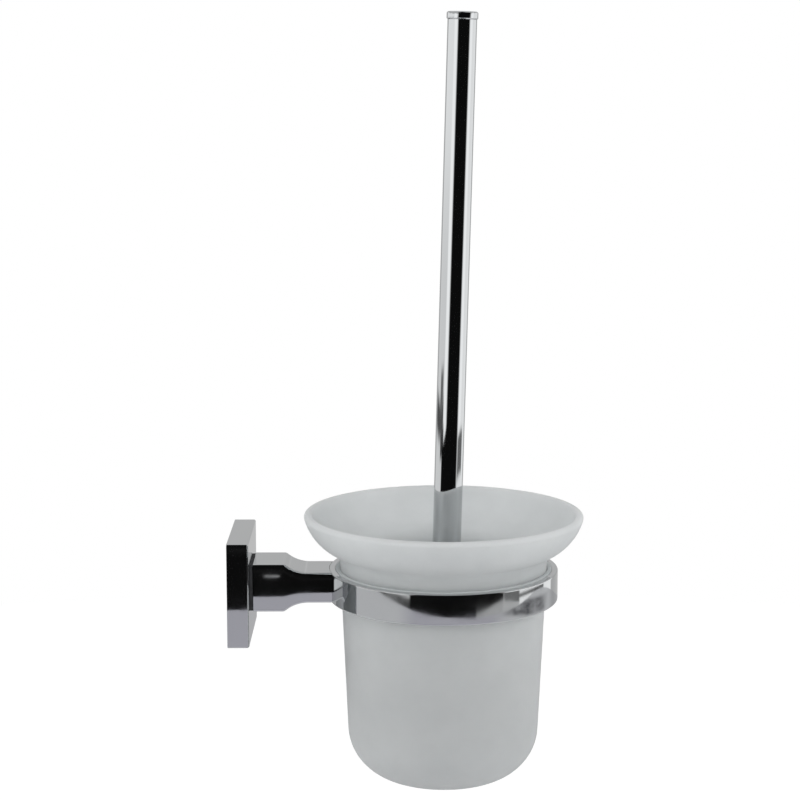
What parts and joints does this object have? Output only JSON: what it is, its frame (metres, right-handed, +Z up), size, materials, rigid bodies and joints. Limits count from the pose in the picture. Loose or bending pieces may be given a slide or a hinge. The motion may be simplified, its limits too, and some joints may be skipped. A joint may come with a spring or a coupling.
{
  "type": "toilet brush holder",
  "caption": "Wall-mounted toilet brush holder: a flat plate, tapered arm and ring carry a frosted glass cup with a flared mouth, and a brush with a slim tube handle stands in the cup.",
  "frame": {"origin": "middle of the wall plate's back, on the wall", "axes": "+X out of the wall, +Z up, along the brush handle, +Y across the plate"},
  "size_m": [0.1747, 0.1382, 0.3781],
  "materials": {
    "chrome": "polished chrome plating",
    "zinc_steel": "zinc-plated steel",
    "black_rubber": "black sheet rubber",
    "clear_plastic": "clear soft plastic",
    "frosted_glass": "acid-etched frosted glass",
    "white_plastic": "moulded white plastic",
    "white_nylon": "white nylon bristle"
  },
  "bodies": {
    "holder": {"wall_bracket": "zinc_steel", "rosette": "chrome", "grub_screw": "zinc_steel", "arm": "chrome", "arm_seal": "black_rubber", "arm_washer": "zinc_steel", "arm_screw": "zinc_steel", "ring": "chrome", "ring_screw": "zinc_steel", "cup_gasket": "clear_plastic"},
    "cup": {"glass_cup": "frosted_glass"},
    "brush": {"handle_tube": "chrome", "handle_cap": "chrome", "handle_insert": "white_plastic", "head_stud": "zinc_steel", "brush_core": "white_plastic", "side_bristles": "white_nylon", "tip_bristles": "white_nylon"}
  },
  "joints": [
    {"name": "cup_lift", "type": "slide", "parent": "holder", "child": "cup", "axis": [0, 0, 1], "range_m": [0, 0.125]},
    {"name": "brush_lift", "type": "slide", "parent": "cup", "child": "brush", "axis": [0, 0, 1], "range_m": [0, 0.16]}
  ]
}
